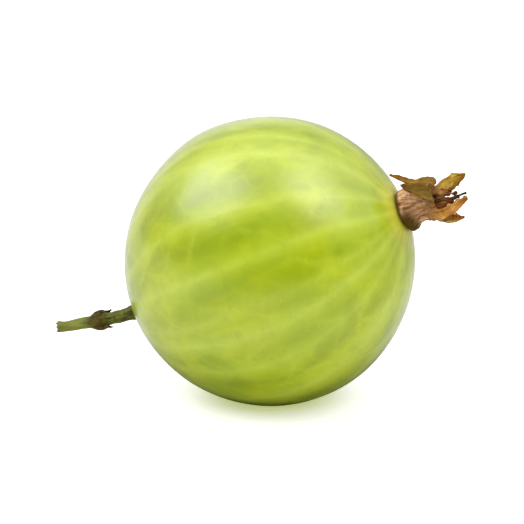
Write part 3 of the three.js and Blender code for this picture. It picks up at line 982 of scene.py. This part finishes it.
studio = {
    "floorRadius": 3.0,  # metres
    "floorShade": 0.78,
    "floorGlow": 0.6,  # keeps the shadows on the table light
    "shadeInSkin": 0.62,  # the floor as the skin mirrors it, and where that is darker
    "shadeUnderBerry": 0.15,
    "shadeInFront": 0.2,
    "shadeOnRight": 0.25,
    "underReach": (6, 17),  # where each of these changes, from and to
    "frontReach": (20, 120),
    "rightReach": (15, 50),
    "passedLight": (0.7, 0.78, 0.25, 1.0),  # the green light that comes through the berry into its shadow
    "passedReach": (2, 7.5),
    "sky": 0.27,
    "skyBehindCamera": 0.04,
    "skyBehindBerry": 0.58,
    "skyOnRight": 0.42,  # what is left on the right of the light behind the berry
    "overhead": 0.93,
    "overheadLean": 0.12,  # from straight up in the picture, away from the camera
    "overheadFar": 0.1,  # what is left of it behind the berry
    "cameraSide": (0.35, 0.85),  # where each change of the sky starts and ends, as cosines
    "berrySide": (-0.45, -0.85),
    "rightSide": (-0.1, 0.3),
    "overheadSide": (0.2, 0.8),
    "farSide": (0.0, -0.65),
    "skyInSkin": 1.4,  # reflections show the sky this much brighter than it lights
    "softboxes": (
        {"toRight": -0.64, "up": 0.73, "back": 0.28, "wide": 0.42, "high": 0.3, "soft": 0.22, "glow": 2.5},
        {"toRight": 0.5, "up": 0.77, "back": 0.4, "wide": 0.28, "high": 0.38, "soft": 0.2, "glow": 2.0},
    ),
    "fill": {"toRight": 0.14, "up": 0.1, "back": 1.0, "distance": 1.5, "size": 1.2, "power": 7.6},
}


def dotted(tree, a, b):
    return add(tree, "ShaderNodeVectorMath", {0: a, 1: b}, operation="DOT_PRODUCT").outputs["Value"]


# A direction from its shares to the right, up and back in the picture.
def wayTo(one):
    return (viewRight * one["toRight"] + viewUp * one["up"] + viewBack * one["back"]).normalized()


# A value that only some rays see, and another for all the rest.
def byRay(tree, kind, otherwise, value):
    ray = add(tree, "ShaderNodeLightPath").outputs[kind]
    return add(tree, "ShaderNodeMix", {0: ray, 2: otherwise, 3: value}, data_type="FLOAT").outputs[0]


# The floor is one flat disc in one pale shade, with a glow that only the camera sees. Reflections show it
# darker under the berry, and with distance towards the camera and to the right.
def makeFloor():
    corners = 64
    turn = turns(corners)
    points = stacked(np.cos(turn), np.sin(turn), 0.0) * studio["floorRadius"]
    mesh = bpy.data.meshes.new("studioFloor")
    mesh.from_pydata(points.tolist(), [], [list(range(corners))])
    floor = addObject("studioFloor", mesh)
    material, tree, shader, place = newMaterial("studioWhite", {"Roughness": 0.7})
    away = add(tree, "ShaderNodeVectorMath", {0: place}, operation="LENGTH").outputs["Value"]

    def reach(value, name, nearShade, farShade):
        near, far = studio[name]
        return ranged(tree, value, near * mm, far * mm, nearShade, farShade)

    shade = studio["shadeInSkin"]
    under = reach(away, "underReach", studio["shadeUnderBerry"], shade)
    front = reach(dotted(tree, place, viewBack), "frontReach", shade, studio["shadeInFront"])
    right = reach(dotted(tree, place, viewRight), "rightReach", shade, studio["shadeOnRight"])
    dimmest = calc(tree, "MINIMUM", calc(tree, "MINIMUM", under, front), right)
    shown = byRay(tree, "Is Glossy Ray", studio["floorShade"], dimmest)
    tree.links.new(shown, shader.inputs["Base Color"])
    passed = mixed(tree, reach(away, "passedReach", 1.0, 0.0), (1, 1, 1, 1), studio["passedLight"])
    tree.links.new(passed, shader.inputs["Emission Color"])
    tree.links.new(byRay(tree, "Is Camera Ray", 0.0, studio["floorGlow"]), shader.inputs["Emission Strength"])
    mesh.materials.append(material)


# A softbox in the sky: a square of light with soft edges round its own direction. wide, high and soft are the
# tangents of its half width, its half height and half its edge.
def softbox(tree, way, box):
    middle = wayTo(box)
    across = viewUp.cross(middle).normalized()
    depth = calc(tree, "MAXIMUM", dotted(tree, way, middle), 0.01)
    light = calc(tree, "GREATER_THAN", dotted(tree, way, middle), 0.0)
    for axis, half in ((across, box["wide"]), (middle.cross(across), box["high"])):
        off = calc(tree, "ABSOLUTE", calc(tree, "DIVIDE", dotted(tree, way, axis), depth))
        edge = ranged(tree, off, half + box["soft"], half - box["soft"])
        light = calc(tree, "MULTIPLY", light, edge)
    return calc(tree, "MULTIPLY", light, box["glow"])


# A wide lamp behind the camera lights the front softly and doesn't show in the skin.
def makeFill():
    fill = studio["fill"]
    light = bpy.data.lights.new("fill", "AREA")
    light.shape, light.size, light.energy = "SQUARE", fill["size"], fill["power"]
    way = wayTo(fill)
    lamp = addObject("fill", light)
    turn = way.to_track_quat("Z", "Y").to_matrix().to_4x4()
    lamp.matrix_world = Matrix.Translation(way * fill["distance"]) @ turn
    lamp.visible_glossy = False


# The sky's brightness goes by direction. It is even at the sides, dark behind the camera and brighter behind
# the berry, though less so on the right. The overhead light, dimmed towards the far side, and the softboxes
# add to it. The camera itself sees plain white.
def makeSky():
    world = bpy.data.worlds.new("sky")
    world.use_nodes = True
    tree = world.node_tree
    way = add(tree, "ShaderNodeTexCoord").outputs["Generated"]
    ahead = dotted(tree, way, viewBack)
    side = ranged(tree, ahead, *studio["cameraSide"], studio["sky"], studio["skyBehindCamera"])
    behind = ranged(tree, ahead, *studio["berrySide"], 0.0, studio["skyBehindBerry"])
    right = ranged(tree, dotted(tree, way, viewRight), *studio["rightSide"], 1.0, studio["skyOnRight"])
    side = calc(tree, "MAXIMUM", side, calc(tree, "MULTIPLY", behind, right))
    middle = (viewUp - viewBack * studio["overheadLean"]).normalized()
    above = ranged(tree, dotted(tree, way, middle), *studio["overheadSide"], 0.0, studio["overhead"])
    far = ranged(tree, ahead, *studio["farSide"], 1.0, studio["overheadFar"])
    total = calc(tree, "MULTIPLY_ADD", above, far, side)
    for box in studio["softboxes"]:
        total = calc(tree, "ADD", total, softbox(tree, way, box))
    total = calc(tree, "MULTIPLY", total, byRay(tree, "Is Glossy Ray", 1.0, studio["skyInSkin"]))
    background = tree.nodes["Background"]
    background.inputs["Color"].default_value = (1, 1, 1, 1)
    tree.links.new(byRay(tree, "Is Camera Ray", total, 1.0), background.inputs["Strength"])
    bpy.context.scene.world = world


makeFloor()
makeFill()
makeSky()
bpy.context.scene.view_settings.view_transform = "Standard"
bpy.context.scene.cycles.use_denoising = True
print("studio: floor, fill lamp, two softboxes and sky")
